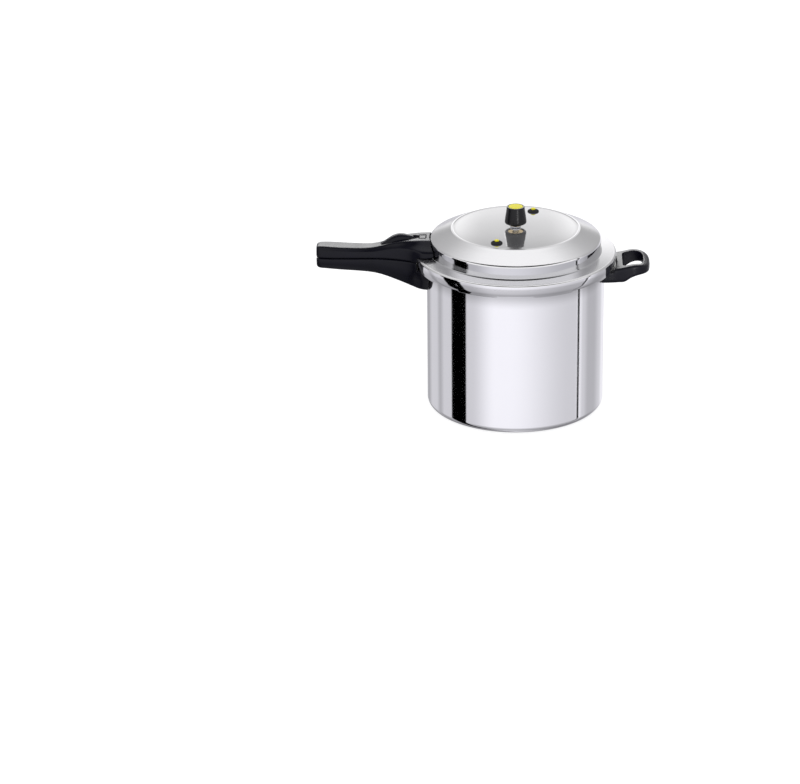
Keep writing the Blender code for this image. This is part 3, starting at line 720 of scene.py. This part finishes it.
def lid_profile(lug):
    """Closed half outline of the lid: its top from the axis out, the skirt, then the underside."""
    flat_r = np.concatenate([[3.2, 4.2], np.linspace(8, 76.4, 18)])
    flat_top = np.stack([flat_r, dome(flat_r, 237.1, 0.9)], -1)
    ridge = rounded([(76.9, 236.27), (78.2, 236.5), (80.0, 236.25), (81.4, 235.55)],
                    [0, 0.8, 1.0, 0], steps=5, closed=False, support=0.1)
    shoulder = rounded([(81.4, 235.55), (88.5, 232.4), (97.0, 228.3), (105.6, 224.1),
                        (105.5, 207.85), (124.5, 206.5), (124.4, 201.8), (124.15, 199.0),
                        (123.5, 195.0), (122.7, 192.5)],
                       [0, 5.5, 7.0, 2.6, 1.7, 3.0, 1.5, 2.0, 2.0, 0],
                       steps=7, closed=False, support=0.3)[1:]
    if lug:
        rim = [(122.2, 191.5), (117.0, 191.5), (116.2, 192.2), (116.2, 195.2), (116.9, 195.9),
               (120.0, 195.9)]
        radii = [0.8, 0.5, 0.5, 0.5, 0.5, 0.3]
    else:
        rim = [(122.0, 190.0), (120.3, 190.0), (119.9, 190.6), (119.9, 192.5), (119.9, 194.2),
               (120.0, 195.9)]
        radii = [0.7, 0.5, 0.4, 0.3, 0.3, 0.3]
    under = [(120.8, 202.2), (119.6, 204.1), (105.6, 205.6), (103.1, 208.0), (103.1, 222.6),
             (96.0, 225.9), (88.0, 229.6), (79.8, 233.0)]
    skirt = rounded([(122.7, 192.5)] + rim + under,
                    [0] + radii + [0.8, 1.2, 1.5, 1.5, 2.5, 4.0, 4.0, 0],
                    steps=6, closed=False, support=0.25)[1:]
    under_r = np.concatenate([np.linspace(70, 10, 9), [4.2, 3.2]])
    under_flat = np.stack([under_r, dome(under_r, 234.6, 0.9)], -1)
    return np.concatenate([flat_top, ridge, shoulder, skirt, under_flat]) - RIM_DROP


bearings = lug_bearings(LID_LUG_HALF, LID_EASE)
share = lug_share(bearings, LID_LUG_HALF, LID_EASE)[:, None, None]
profiles = lid_profile(True) * share + lid_profile(False) * (1 - share)
profiles[:, [0, -1], 0] = 4.3
profiles[:, [1, -2], 0] = 4.9
middle = (profiles[0] + np.roll(profiles[0], -1, 0)) / 2
rows = np.zeros(len(middle), int)
top_side = np.arange(len(middle)) < len(lid_profile(False)) * 0.62
rows[(middle[:, 0] < 77.0) & top_side] = 1
rows[(middle[:, 0] > 81.0) & (middle[:, 1] > 217.9) & top_side] = 2
rows[(middle[:, 0] > 106.5) & (middle[:, 0] < 122.6) & (middle[:, 1] > 200.4) & top_side] = 2
rows[(middle[:, 0] > 105.0) & (middle[:, 0] < 106.5) & (middle[:, 1] < 216.6) & top_side] = 4
inner = (middle[:, 0] < 120.6) & ~top_side
rows[inner] = 3
lid = skin("pressed_lid", turn(profiles, bearings), [mirror, disc_metal, brim_metal, spun_metal,
                                                     riser_metal_with_painted_shade], rows)
VALVES = [(61.0 * np.cos(np.radians(a)), 61.0 * np.sin(np.radians(a))) for a in (-112.0, 69.0)]
for x, y in VALVES:
    carve(lid, pipe_cut("valve_way", (x, y, 222), (x, y, 242), 4.8))
for y in (-8.4, 8.4):
    carve(lid, pipe_cut("lid_rivet_way", (-112, y, 209.2), (-99, y, 209.2), 2.0))
relief = np.radians(-125.2)
carve(lid, pipe_cut("relief_way", (112 * np.cos(relief), 112 * np.sin(relief), 193.4),
                    (130 * np.cos(relief), 130 * np.sin(relief), 193.4), 1.9))
smooth(lid)
take_place(lid, "lid", "aluminium", "lid_shell")

# %% [markdown]
# The lip seal lies inside the lid, under the brim, open towards the steam.

# %% Lip seal
seal = rounded([(109.0, 199.9), (118.2, 199.9), (119.0, 200.7), (119.0, 202.9), (118.2, 203.8),
                (109.4, 204.7), (108.6, 203.7), (114.2, 203.0), (114.2, 201.6), (108.6, 200.7)],
               [0.4, 0.4, 0.4, 0.4, 0.4, 0.5, 0.4, 0.5, 0.5, 0.4], steps=5, support=0.1)
gasket = skin("lip_seal", turn(seal - RIM_DROP, ROUND), [soft_black])
take_place(gasket, "seal", "rubber", "gasket")

# %% [markdown]
# ## Long handle
#
# Two pressed halves that meet in one slim grip. The upper half rides on the lid and
# wraps over its brim, the lower half is screwed to the pot. Each is a cross-section
# that changes along the handle: its top, its foot and its widths are read from tables
# through a curve without kinks, then its corners are rounded. The seats of the lid and
# the pot are cut out with the same turned outlines that the metal has, 0.6 mm clear.

# %% Handle tables
GRIP_END = 246.6


def eased(table, s):
    """A smooth curve through the rows of a table: each span is a cubic with the slopes
    of the neighbouring rows at its ends."""
    xs, ys = np.array(table, float).T
    slopes = np.gradient(ys, xs)
    k = np.clip(np.searchsorted(xs, s, "right") - 1, 0, len(xs) - 2)
    h = xs[k + 1] - xs[k]
    t = (s - xs[k]) / h
    return ((1 + 2 * t) * (1 - t) ** 2 * ys[k] + t * (1 - t) ** 2 * h * slopes[k]
            + t * t * (3 - 2 * t) * ys[k + 1] + t * t * (t - 1) * h * slopes[k + 1])


TOP = [(98, 218.9), (106, 218.7), (122, 218.3), (132, 217.4), (140, 216.3), (148, 214.6), (157, 212.2),
       (166, 209.3), (176, 207.2), (186, 206.4), (200, 206.6), (218, 207.3), (236, 208.3), (248, 208.4)]
FOOT = [(98, 155.6), (110, 155.8), (121, 156.8), (130, 159.0), (140, 162.3), (150, 165.7), (159, 168.7),
        (170, 171.9), (180, 173.8), (190, 174.9), (215, 176.8), (236, 178.4), (248, 179.0)]
HALF_TOP = [(98, 15.8), (108, 15.2), (125, 14.6), (135, 13.6), (145, 12.0), (155, 10.0), (166, 8.6),
            (176, 8.6), (190, 9.6), (205, 10.2), (230, 10.2), (240, 9.4), (248, 8.4)]
HALF_SPLIT = [(98, 35.0), (110, 35.0), (116, 33.5), (121, 30.0), (126, 26.0), (132, 22.3), (140, 19.0),
              (150, 16.0), (160, 13.8), (170, 12.6), (180, 12.4), (205, 13.0), (230, 12.8), (240, 11.8),
              (248, 10.6)]
s = np.concatenate([np.linspace(98, 240, 143), np.linspace(240.5, GRIP_END, 14)])
tip = np.clip((s - 240.5) / (GRIP_END - 240.5), 0, 1)
inset = 3.6 * (1 - np.sqrt(np.clip(1 - tip ** 2, 0, 1)))
print("handle stations:", len(s), "top from", TOP[0][1], "to", TOP[-1][1])

# %% Upper half


def mirror_ring(half_ring):
    """A closed ring from its +y half, listed from its foot to its top."""
    other = half_ring[:, ::-1] * np.array((-1.0, 1.0))
    return np.concatenate([half_ring, other], 1)


def seat(name, outline):
    """A turned cutter for the metal that a grip is seated on, fine enough to stay round."""
    return skin(name, turn(np.array(outline, float) - RIM_DROP, np.arange(0.0, 360.0, 1.0)), [])


top = eased(TOP, s) - inset * 0.8
low = 193.7 + inset * 0.35
half_low, half_top = eased(HALF_SPLIT, s) - inset, eased(HALF_TOP, s) - inset
shoulder = np.minimum(low + (top - low) * 0.62, 210.5)
lean = half_top + (half_low - half_top) * 0.42
half_ring = np.stack([
    np.stack([half_low, np.broadcast_to(low, s.shape)], -1), np.stack([half_low, shoulder], -1),
    np.stack([lean, shoulder + (top - shoulder) * 0.48], -1), np.stack([half_top, top], -1),
], 1)
rings = rounded(mirror_ring(half_ring), [2.0, 5.0, 4.0, 1.5, 1.5, 4.0, 5.0, 2.0], steps=7)
upper = along("upper_grip", -s, rings, [])
LID_OUTLINE = [(0, 180), (124.9, 180), (124.9, 204.8), (124, 206.4), (121.6, 207), (115, 207.6),
               (108.2, 208.2), (106.7, 209), (106.2, 210.6), (106.2, 230), (0, 230)]
carve(upper, seat("lid_seat", LID_OUTLINE))
BOLT_X = -134.0


def track_z(x):
    """Height of the thumb slider's track: it climbs 0.177 per mm towards the lid."""
    return 216.0 + 0.177 * (x + 122.0)


def track_cut(name, depth=0.0):
    """The slider's pocket: a teardrop in plan whose floor is the sloping track."""
    plan = [(-167.4, 0.0), (-167.4, 1.6), (-166.0, 3.9), (-162.6, 5.9), (-156.0, 7.3), (-148.0, 7.7),
            (-138.0, 7.6), (-128.0, 6.6), (-121.6, 5.0), (-119.6, 3.8), (-119.6, 0.0)]
    half_plan = rounded(plan, [0, 1.5, 2.5, 3, 4, 4, 4, 4, 2, 2, 0], steps=5, closed=False)
    back = half_plan[::-1][1:-1] * np.array((1.0, -1.0))
    plan = np.concatenate([half_plan, back])
    floor_z = track_z(plan[:, 0]) - depth
    low_ring = np.concatenate([plan, floor_z[:, None]], -1)
    high_ring = np.concatenate([plan, np.full((len(plan), 1), 236.0)], -1)
    middle_low = np.broadcast_to(low_ring.mean(0), low_ring.shape)
    middle_high = np.broadcast_to(high_ring.mean(0), high_ring.shape)
    return skin(name, np.stack([middle_low, low_ring, high_ring, middle_high]), [], close_rows=False)


carve(upper, track_cut("slider_track"),
      block("bolt_way", (BOLT_X - 3.5, -3.5, 188), (BOLT_X + 3.5, 3.5, 213.0)),
      block("bar_way", (-144.4, -1.9, 197.6), (-120.1, 1.9, 222.0)),
      block("badge_seat", (-119.3, -6.7, 216.1), (-110.5, 6.7, 222.0)),
      pipe_cut("screw_head_way", (-114.8, 0, 208.3), (-114.8, 0, 219), 4.3))
relax(upper, 0.62, 5, bakelite)
take_place(upper, "lid", "bakelite", "lid_handle")

# %% [markdown]
# The lower half hangs like a keel: its sides lean in towards a narrow, rounded foot. A
# square hole in its top takes the bolt, and a round one in its foot takes the screw.

# %% Lower half
foot = eased(FOOT, s) + inset * 0.8
high = 193.1 - inset * 0.35
half_high = eased(HALF_SPLIT, s) - inset
waist = high - (high - foot) * 0.45
half_ring = np.stack([
    np.stack([half_high * 0.66, foot], -1), np.stack([half_high * 0.97, waist], -1),
    np.stack([half_high, np.broadcast_to(high, s.shape)], -1),
], 1)
rings = rounded(mirror_ring(half_ring), [3.4, 6.0, 2.0, 2.0, 6.0, 3.4], steps=8)
lower_half = along("lower_grip", -s, rings, [])
POT_OUTLINE = [(0, 140), (110.4, 140), (110.4, 188.6), (125.2, 188.6), (125.2, 200), (0, 200)]
carve(lower_half, seat("pot_seat", POT_OUTLINE),
      block("bolt_hole", (BOLT_X - 4.3, -4.3, 185.0), (BOLT_X + 4.3, 4.3, 196.0)),
      pipe_cut("foot_screw_way", (-145, 0, 150), (-145, 0, 167.9), 4.6))
relax(lower_half, 0.66, 5, bakelite)
take_place(lower_half, "pot", "bakelite", "pot_handle")

# %% [markdown]
# ## Helper handle
#
# A short loop on the far side of the pot, for the other hand. It is a block with soft
# edges, stacked from plan outlines, with a finger hole through it. The outlines shrink
# towards its top and its underside, which rounds the long edges.

# %% Helper handle
PLAN = [(100.0, 0.0), (100.0, 34.0), (112.0, 33.0), (124.0, 31.8), (136.0, 31.8), (148.0, 31.2),
        (156.0, 29.0), (161.5, 24.4), (164.6, 18.0), (165.8, 8.0), (165.8, 0.0)]
half_plan = rounded(PLAN, [0, 0, 4, 4, 4, 4, 4, 4, 4, 4, 0], steps=6, closed=False)
plan = np.concatenate([half_plan, half_plan[::-1][1:-1] * np.array((1.0, -1.0))])
HELPER_TOP = [(100, 187.0), (124, 187.6), (134, 189.5), (146, 192.0), (156, 191.4), (168, 187.8)]
HELPER_FOOT = [(100, 169.6), (126, 169.6), (135, 170.6), (142, 175.2), (150, 178.2), (160, 179.4),
               (168, 179.4)]
levels = np.linspace(0, 1, 23)
round_in = 3.0 * (1 - np.sqrt(1 - np.clip((0.26 - levels) / 0.26, 0, 1) ** 2))
round_in += 2.6 * (1 - np.sqrt(1 - np.clip((levels - 0.76) / 0.24, 0, 1) ** 2))
x = plan[None, :, 0] - round_in[:, None] * (plan[None, :, 0] > 140)
y = plan[None, :, 1] * (1 - round_in[:, None] / 34.0)
z_low, z_high = eased(HELPER_FOOT, x), eased(HELPER_TOP, x)
z = z_low + (z_high - z_low) * levels[:, None]
grid = np.stack([x, y, z], -1)
centre_line = np.stack([x, 0 * y, z], -1)
grid = np.concatenate([centre_line[:1], grid, centre_line[-1:]])
loop = skin("side_loop", grid, [], close_rows=False)
GAP = [(132.4, 0.0), (132.4, 19.5), (134.2, 22.6), (148.0, 23.4), (154.4, 20.4), (157.2, 14.5),
       (158.0, 5.0),
       (158.0, 0.0)]
half_gap = rounded(GAP, [0, 2, 2, 4, 3, 3, 3, 0], steps=6, closed=False)
gap_plan = np.concatenate([half_gap, half_gap[::-1][1:-1] * np.array((1.0, -1.0))])
gap_rings = [np.concatenate([gap_plan, np.full((len(gap_plan), 1), level)], -1) for level in (150.0, 210.0)]
gap_ends = [np.broadcast_to(ring.mean(0), ring.shape) for ring in gap_rings]
carve(loop, skin("finger_gap", np.stack([gap_ends[0], *gap_rings, gap_ends[1]]), [], close_rows=False),
      seat("helper_seat", POT_OUTLINE),
      pipe_cut("helper_screw_way", (127.7, 0, 176.4), (140, 0, 176.4), 4.5))
relax(loop, 0.5, 4, bakelite)
take_place(loop, "pot", "bakelite", "helper_handle")

# %% [markdown]
# ## Thumb slider and badge
#
# The slider is a teardrop that the thumb pushes forward, with its steepest side facing
# the hand. The bar under it runs through the bolt. The badge is a small blank plate
# over the lid handle's screw, with a raised border.

# %% Thumb slider
SLIDER = [(-166.4, 0.6, 0.6), (-165.4, 2.8, 1.6), (-163.0, 4.4, 2.9), (-160.0, 5.5, 4.6),
          (-156.0, 6.4, 6.7),
          (-150.0, 7.0, 9.2), (-144.0, 6.8, 9.9), (-138.0, 6.2, 8.6), (-132.0, 5.2, 6.2),
          (-128.0, 4.2, 4.6),
          (-126.0, 2.8, 3.4)]
x = np.linspace(-166.4, -126.0, 90)
half = eased([(a, b) for a, b, _ in SLIDER], x)
tall = eased([(a, c) for a, _, c in SLIDER], x)
base = track_z(x) + 0.3
half_ring = np.stack([
    np.stack([half, base], -1), np.stack([half, base + tall * 0.45], -1),
    np.stack([half * 0.78, base + tall * 0.84], -1), np.stack([half * 0.34, base + tall], -1),
], 1)
rings = rounded(mirror_ring(half_ring), [0.4, 2.0, 2.5, 2.2, 2.2, 2.5, 2.0, 0.4], steps=6)
slider = along("thumb_slider", x, rings, [])


def bar_z(x):
    """Middle of the sloping bar under the slider."""
    run = 6.0 / np.hypot(1.0, 0.177)
    return 208.5 + (5.0 + 0.177 * run) / run * (x - BOLT_X)


bar_x = np.array([-143.4, -126.6])
bar = np.stack([[(-1.4, bar_z(v) - 1.2), (1.4, bar_z(v) - 1.2), (1.4, bar_z(v) + 1.2),
                 (-1.4, bar_z(v) + 1.2)]
                for v in bar_x])
carve(slider, along("slider_bar", bar_x, bar, []), operation="UNION")
relax(slider, 0.3, 3, bakelite)
take_place(slider, "slider", "bakelite", "lock_slider")

# %% Badge
outline = rounded([(-118.6, -6.0), (-111.2, -6.0), (-111.2, 6.0), (-118.6, 6.0)], [1.0] * 4, steps=6,
                  support=0.1)
centre = outline.mean(0)


def plate_ring(share, z):
    return np.concatenate([centre + (outline - centre) * share, np.full((len(outline), 1), z)], -1)


plate = [(0.0, 216.4), (1.0, 216.4), (1.0, 218.35), (0.96, 218.7), (0.86, 218.7), (0.82, 218.35),
         (0.0, 218.35)]
badge = skin("blank_badge", np.stack([plate_ring(share, z) for share, z in plate]), [bakelite],
             close_rows=False)
smooth(badge, 30)
take_place(badge, "lid", "bakelite", "lid_handle_plate")

# %% [markdown]
# ## Weight, steam pipe and safety valves
#
# All turned parts. The weight is a brass slug inside a black jacket, closed by a yellow
# disc, and it hangs loose on the steam pipe. The two valves are rubber grommets pinched
# in the lid, each with a yellow pin that pops up.

# %% Turned small parts


# Outlines of what stands on the lid are listed 6.5 mm high, and lowered onto its dome.
ON_DOME = np.array((0.0, 6.5))


def turned(name, corners, radii, look, body, slot, *nodes, centre=(0.0, 0.0), lower=ON_DOME):
    """A small part: its half outline, rounded, turned round an upright axis at centre."""
    outline = rounded(corners, radii, steps=6, support=0.12) - lower
    piece = skin(name, turn(outline, ROUND, centre), [look])
    take_place(piece, body, slot, *nodes)
    return piece


turned("weight_jacket",
       [(9.8, 243.2), (12.5, 243.2), (13.4, 244.4), (13.4, 246.6), (12.6, 252.4), (11.6, 259.0),
        (10.95, 264.9),
        (9.3, 264.9), (9.3, 262.6), (0, 262.6), (0, 260.3), (8.3, 260.3), (9.8, 250.5)],
       [0.3, 0.8, 0.8, 1.5, 2.0, 2.0, 0.7, 0.4, 0.2, 0, 0, 0.4, 0.4], jacket_black, "weight",
       "bakelite", "weight_cover")
turned("weight_slug",
       [(3.9, 243.8), (9.4, 243.8), (9.4, 250.4), (8.0, 260.0), (0, 260.0), (0, 254.4), (3.9, 254.2)],
       [0.3, 0.5, 0.5, 0.3, 0, 0, 0.3], yellow_brass, "weight", "brass", "weight_core")
turned("weight_disc",
       [(0, 262.9), (8.9, 262.9), (8.9, 265.0), (7.6, 265.15), (0, 265.2)],
       [0, 0.2, 0.5, 0.6, 0], signal_yellow, "weight", "yellow_plastic", "weight_cap")
turned("steam_pipe",
       [(1.4, 227), (3.4, 227), (4, 227.6), (4, 238.8), (6.6, 238.8), (6.8, 240.3), (4.2, 240.4),
        (3.5, 241.2),
        (3.4, 252.6), (2.4, 253.8), (1.4, 253.8)],
       [0.2, 0.2, 0.2, 0.2, 0.2, 0.4, 0.5, 0.5, 0.5, 0.4, 0.2], zinc, "lid", "steel", "vent_pipe")
turned("steam_sieve",
       [(4.3, 227.6), (4.3, 231.5), (5.6, 231.5), (6.5, 230.8), (6.6, 227.0), (5.4, 225.2), (0, 224.8),
        (0, 226.0),
        (3.6, 226.4)],
       [0.2, 0.2, 0.4, 0.4, 0.8, 1.0, 0, 0, 0.3], zinc, "lid", "steel", "vent_filter")
for which, centre in zip(("1", "2"), VALVES):
    turned(f"valve_grommet_{which}",
           [(2.3, 231.9), (5.6, 231.9), (6.3, 232.5), (6.3, 233.9), (4.5, 234.1), (4.5, 237.6),
            (7.1, 237.6),
            (7.1, 238.5), (6.3, 239.2), (4.6, 240.1), (2.9, 240.4), (2.3, 239.8)],
           [0.3, 0.5, 0.5, 0.4, 0.3, 0.3, 0.2, 0.2, 0.8, 0.8, 0.4, 0.3], soft_black,
           "lid", "rubber", f"safety_grommet_{which}", centre=centre)
    turned(f"valve_pin_{which}",
           [(0, 227.5), (2.6, 227.5), (3.2, 228.0), (3.2, 228.6), (2.0, 228.7), (2.0, 240.6), (2.9, 240.6),
            (2.8, 241.6), (1.9, 242.15), (0, 242.2)],
           [0, 0.3, 0.3, 0.3, 0.2, 0.2, 0.3, 0.6, 0.8, 0], signal_yellow,
           f"pin_{which}", "yellow_plastic", f"safety_pin_{which}", centre=centre)

# %% [markdown]
# The nut under the lid is six-sided: the turned outline is pushed out to the corners by
# cos 30 / cos(a - 30), where a is the bearing within one side.

# %% Nut
nut_outline = rounded([(7.4, 231.9), (7.9, 232.5), (7.9, 235.1), (7.4, 235.7), (4.4, 235.7), (4.4, 231.9)],
                      [0.2, 0.2, 0.2, 0.2, 0.2, 0.2], steps=4, support=0.1)
hexagon = np.cos(np.radians(30)) / np.cos(np.radians(ROUND % 60 - 30))
nut_profiles = np.stack([np.stack([np.where(nut_outline[:, 0] > 5, nut_outline[:, 0] * h,
                                            nut_outline[:, 0]),
                                   nut_outline[:, 1]], -1) for h in hexagon])
nut = skin("pipe_nut", turn(nut_profiles - ON_DOME, ROUND), [yellow_brass])
smooth(nut, 25)
take_place(nut, "lid", "brass", "vent_pipe_nut")

# %% [markdown]
# ## Rivets and screws
#
# Rivets go through the wall, with a low round head inside and a flat one outside. The
# screws have a recessed head. Each is a turned outline laid along its own axis.

# %% Rivets and screws


def lying(name, outline, radii, y, z, look, body, slot, node, steps=5):
    """A part turned round a line along X through (y, z): the outline is (x, r)."""
    outline = rounded(outline, radii, steps=steps, closed=False, support=0.1)
    a = np.radians(np.arange(0.0, 360.0, 7.5))[:, None]
    x, r = outline[:, 0], outline[:, 1]
    grid = np.stack([x + 0 * a, y + r * np.cos(a), z + r * np.sin(a)], -1)
    piece = skin(name, grid, [look])
    take_place(piece, body, slot, node)


def rivet(name, sign, inner, outer, y, z, body, node, shank, head):
    outline = [(inner - 1.5, 0), (inner - 1.4, head * 0.55), (inner - 0.5, head), (inner, head),
               (inner, shank),
               (outer, shank), (outer, head), (outer + 0.5, head), (outer + 1.4, head * 0.55),
               (outer + 1.5, 0)]
    lying(name, [(sign * x, r) for x, r in outline], [0, 1.2, 0.6, 0.2, 0.2, 0.2, 0.2, 0.6, 1.2, 0],
          y, z, zinc, body, "steel", node)


for side, y in (("near", -1), ("far", 1)):
    rivet(f"grip_rivet_{side}", -1, 106.1, 112.8, 9.0 * y, 177.2, "pot", f"pot_handle_rivet_{side}",
          2.4, 4.2)
    rivet(f"loop_rivet_{side}", 1, 106.1, 112.8, 9.0 * y, 176.4, "pot", f"helper_rivet_{side}", 2.4, 4.2)
    rivet(f"lid_rivet_{side}", -1, 101.9, 107.9, 8.4 * y, 209.2, "lid", f"lid_handle_rivet_{side}",
          1.8, 3.1)
lying("loop_screw", [(114.2, 0), (114.2, 1.6), (114.8, 2.0), (128.0, 2.0), (128.0, 4.0), (131.0, 4.0),
                     (131.0, 1.9), (129.6, 1.6), (129.6, 0)],
      [0, 0.2, 0.2, 0.1, 0.2, 0.6, 0.2, 0.2, 0], 0.0, 176.4, zinc, "pot", "steel", "helper_screw")
turned("foot_screw", [(0, 165.8), (1.6, 165.8), (1.9, 164.6), (4, 164.6), (4, 167.6), (2, 167.6),
                      (2, 180), (0, 180)],
       [0, 0.2, 0.2, 0.6, 0.2, 0.1, 0.4, 0], zinc, "pot", "steel", "pot_handle_screw", centre=(-145.0,
                                                                                               0.0),
                                                                                               lower=0.0)
turned("lid_screw", [(0, 209.8), (1.6, 209.8), (1.9, 211), (4, 211), (4, 208.6), (2, 208.6),
                     (2, 203.9), (0, 203.9)],
       [0, 0.2, 0.2, 0.6, 0.2, 0.1, 0.4, 0], zinc, "lid", "steel", "lid_handle_screw", centre=(-114.8,
                                                                                               0.0),
                                                                                               lower=0.0)

# %% [markdown]
# ## Hidden plates and the bolt
#
# The bent plates inside the handles and the square bolt keep their plain solids: they
# are flat-sided in life too. They get the plated finish on their own sockets.

# %% Plain solids
for node in ("pot_handle_bracket", "helper_bracket", "lid_handle_bracket", "lock_bolt"):
    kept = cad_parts[node]
    for place_in_mesh in kept.material_slots:
        place_in_mesh.material = zinc
print("kept as packed: three plates and the bolt")

# %% [markdown]
# ## A soft light for the black plastic
#
# On a satin black grip the eye reads the form from broad reflections. The studio
# sets a big soft box behind and above for them, and keeps it off the mirror metal with
# a flag. Light linking does the flag's work here: only the black pieces
# receive this box.

# %% Back soft box
lit_pieces = bpy.data.collections.new("grips_and_valves")
for obj in (upper, lower_half, loop, slider, badge, bpy.data.objects["weight_jacket"]):
    lit_pieces.objects.link(obj)
box = bpy.data.lights.new("back_soft_box", "AREA")
box.shape = "RECTANGLE"
box.size, box.size_y = 1.6, 0.9
box.energy = 17.0
soft_box = bpy.data.objects.new("back_soft_box", box)
scene.collection.objects.link(soft_box)
soft_box.location = (-0.25, 1.75, 1.05)
aim = np.array((-0.1, 0.0, 0.2)) - np.array(soft_box.location)
soft_box.rotation_euler = mathutils.Vector(aim).to_track_quat("-Z", "Y").to_euler()
soft_box.light_linking.receiver_collection = lit_pieces
# A narrow strip in front gives the weight its upright highlight. The camera sees neither light.
strip = bpy.data.lights.new("front_strip", "AREA")
strip.shape = "RECTANGLE"
strip.size, strip.size_y = 0.07, 0.5
strip.energy = 1.2
front_strip = bpy.data.objects.new("front_strip", strip)
scene.collection.objects.link(front_strip)
front_strip.location = (0.34, -0.78, 0.16)
aim = np.array((0.0, 0.0, 0.24)) - np.array(front_strip.location)
front_strip.rotation_euler = mathutils.Vector(aim).to_track_quat("-Z", "Y").to_euler()
front_strip.light_linking.receiver_collection = lit_pieces
front_strip.visible_camera = False
soft_box.visible_camera = False
